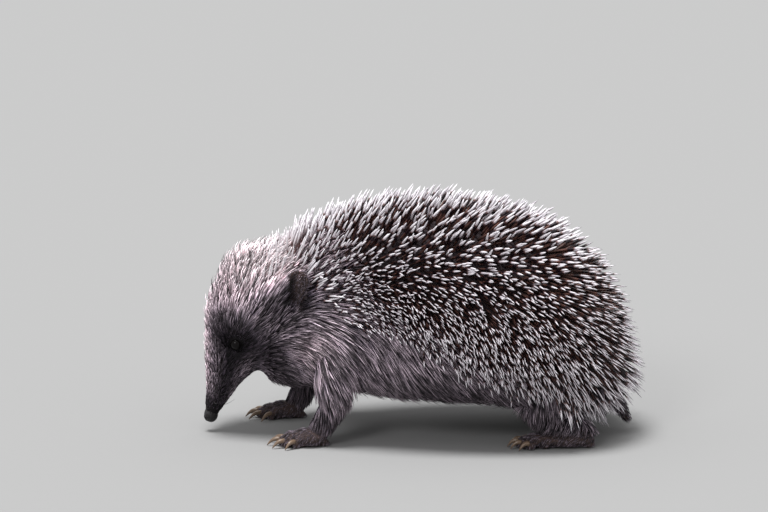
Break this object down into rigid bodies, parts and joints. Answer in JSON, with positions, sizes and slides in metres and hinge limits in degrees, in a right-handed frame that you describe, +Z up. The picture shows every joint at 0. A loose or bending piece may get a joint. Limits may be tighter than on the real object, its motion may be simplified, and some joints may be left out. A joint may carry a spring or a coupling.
{
  "type": "hedgehog",
  "caption": "Still life-size European hedgehog, spiny back arched, standing on short legs with its long snout lowered to the ground to forage.",
  "frame": {"origin": "on the floor, under the middle of the bounding box", "axes": "+Z up, the nose points to -X, the animal's left side faces -Y"},
  "size_m": [0.2051, 0.1178, 0.1168],
  "materials": {
    "fur_face": "grey-brown hair, darker round the eyes",
    "fur_snout": "short dark grey-brown hair",
    "fur_jaw": "short dark grey-brown hair",
    "nose": "moist black skin",
    "eye": "glossy black",
    "ear_skin": "dark bare skin with short hair",
    "fur_neck": "coarse grey-brown hair",
    "spines": "horn spines banded cream, dark brown and white",
    "fur_flank": "coarse grey-brown hair",
    "tail_skin": "dark skin with thin hair",
    "fur_fore_leg": "grey-brown hair",
    "fore_foot_skin": "dark skin with short hair, horn claws",
    "fur_hind_leg": "grey-brown hair",
    "hind_foot_skin": "dark skin with short hair, horn claws"
  },
  "bodies": {
    "root": {"head": "fur_face", "snout": "fur_snout", "lower_jaw": "fur_jaw", "nose_pad": "nose", "eye_left": "eye", "eye_right": "eye", "ear_left": "ear_skin", "ear_right": "ear_skin", "neck": "fur_neck", "mantle": "spines", "trunk": "fur_flank", "tail": "tail_skin", "fore_leg_left": "fur_fore_leg", "fore_leg_right": "fur_fore_leg", "fore_foot_left": "fore_foot_skin", "fore_foot_right": "fore_foot_skin", "hind_leg_left": "fur_hind_leg", "hind_leg_right": "fur_hind_leg", "hind_foot_left": "hind_foot_skin", "hind_foot_right": "hind_foot_skin"}
  },
  "joints": []
}
